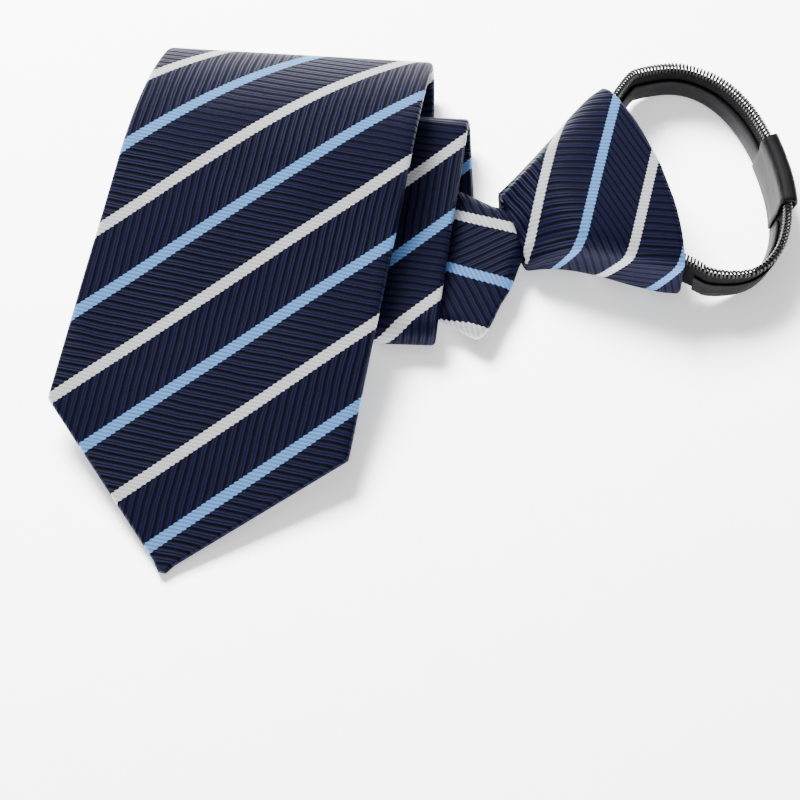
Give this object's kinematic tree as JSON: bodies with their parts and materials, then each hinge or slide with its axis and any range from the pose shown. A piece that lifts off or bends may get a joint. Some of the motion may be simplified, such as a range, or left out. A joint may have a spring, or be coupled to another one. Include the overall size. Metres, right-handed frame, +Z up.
{
  "type": "zipper necktie",
  "caption": "Pre-knotted necktie with a zip neckband, lying with its blade rolled up under its front panel.",
  "frame": {"origin": "middle of the bounding box, on the surface that the tie lies on", "axes": "+X from the blade's panel towards the neck loop, +Y from the panel's tip towards its roll, +Z up"},
  "size_m": [0.2008, 0.1574, 0.0253],
  "materials": {
    "striped_cloth": "navy ribbed silk weave with white and light blue diagonal stripes",
    "woven_tape": "matt black zip tape",
    "zip_teeth": "black nylon coil",
    "smooth_band": "smooth black satin"
  },
  "bodies": {
    "root": {"blade": "striped_cloth", "knot": "striped_cloth", "zip_tape_upper": "woven_tape", "zip_tape_lower": "woven_tape", "zip_teeth_upper": "zip_teeth", "zip_teeth_lower": "zip_teeth", "neck_band_upper": "smooth_band", "neck_band_lower": "smooth_band", "joint_sleeve": "smooth_band"}
  },
  "joints": []
}
